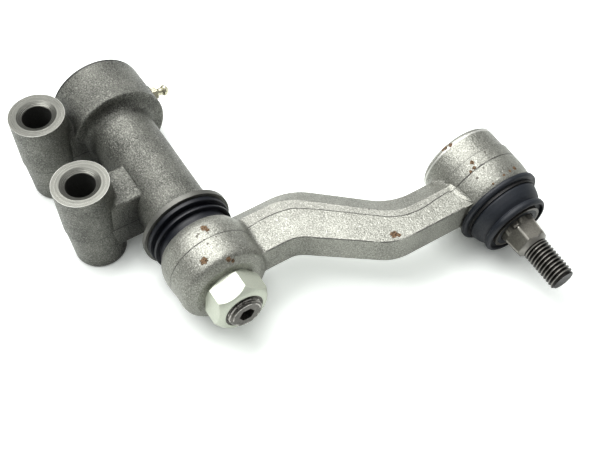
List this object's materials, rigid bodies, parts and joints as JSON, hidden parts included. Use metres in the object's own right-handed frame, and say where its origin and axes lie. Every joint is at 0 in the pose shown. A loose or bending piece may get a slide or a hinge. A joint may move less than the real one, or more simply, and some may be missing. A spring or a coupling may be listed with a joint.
{
  "type": "steering idler arm",
  "caption": "Steering idler arm: a cast pivot bracket that bolts to a frame carries a forged, cranked arm with a sealed ball stud for the centre link.",
  "frame": {"origin": "midway between the two bolt holes, on the machined faces of the bosses", "axes": "+Z leaves the boss faces, +X runs along the pivot shaft to its lock nut, +Y runs from the bosses to the ball joint"},
  "size_m": [0.2291, 0.2241, 0.0555],
  "materials": {
    "cast_iron": "matte",
    "forged_steel": "shot blasted",
    "machined_steel": "satin",
    "dark_steel": "satin",
    "zinc": "zinc plated",
    "yellow_zinc": "passivated",
    "rubber": "matte",
    "seat_plastic": "matte",
    "bush_bronze": "satin"
  },
  "bodies": {
    "bracket": {"pivot_bracket": "cast_iron", "end_cap": "machined_steel", "thrust_spring": "dark_steel", "pressure_pad": "machined_steel", "head_bush": "bush_bronze", "flange_bush": "bush_bronze", "thrust_washer": "bush_bronze", "grease_nipple": "yellow_zinc", "nipple_ball": "machined_steel"},
    "arm": {"idler_arm": "forged_steel", "pivot_shaft": "dark_steel", "lock_nut": "zinc", "nut_insert": "dark_steel", "shaft_seal": "rubber", "socket_plug": "forged_steel", "seat_spring": "dark_steel"},
    "seats": {"ball_seat": "seat_plastic", "pressure_seat": "seat_plastic", "dust_boot": "rubber", "boot_clip": "machined_steel"},
    "stud": {"ball_stud": "dark_steel", "boot_collar_ring": "machined_steel"}
  },
  "joints": [
    {"name": "arm_swing", "type": "hinge", "parent": "bracket", "child": "arm", "pos_m": [0.0549, 0.0395, -0.027], "axis": [1, 0, 0], "range_deg": [-45, 45]},
    {"name": "ball_spin", "type": "hinge", "parent": "arm", "child": "seats", "pos_m": [0.1119, 0.185, -0.0299], "axis": [0.9939, 0.0347, -0.1045], "continuous": true},
    {"name": "stud_tilt", "type": "hinge", "parent": "seats", "child": "stud", "pos_m": [0.1119, 0.185, -0.0299], "axis": [-0.0349, 0.9994, 0], "range_deg": [-20, 20], "deforming": ["dust_boot"]}
  ]
}
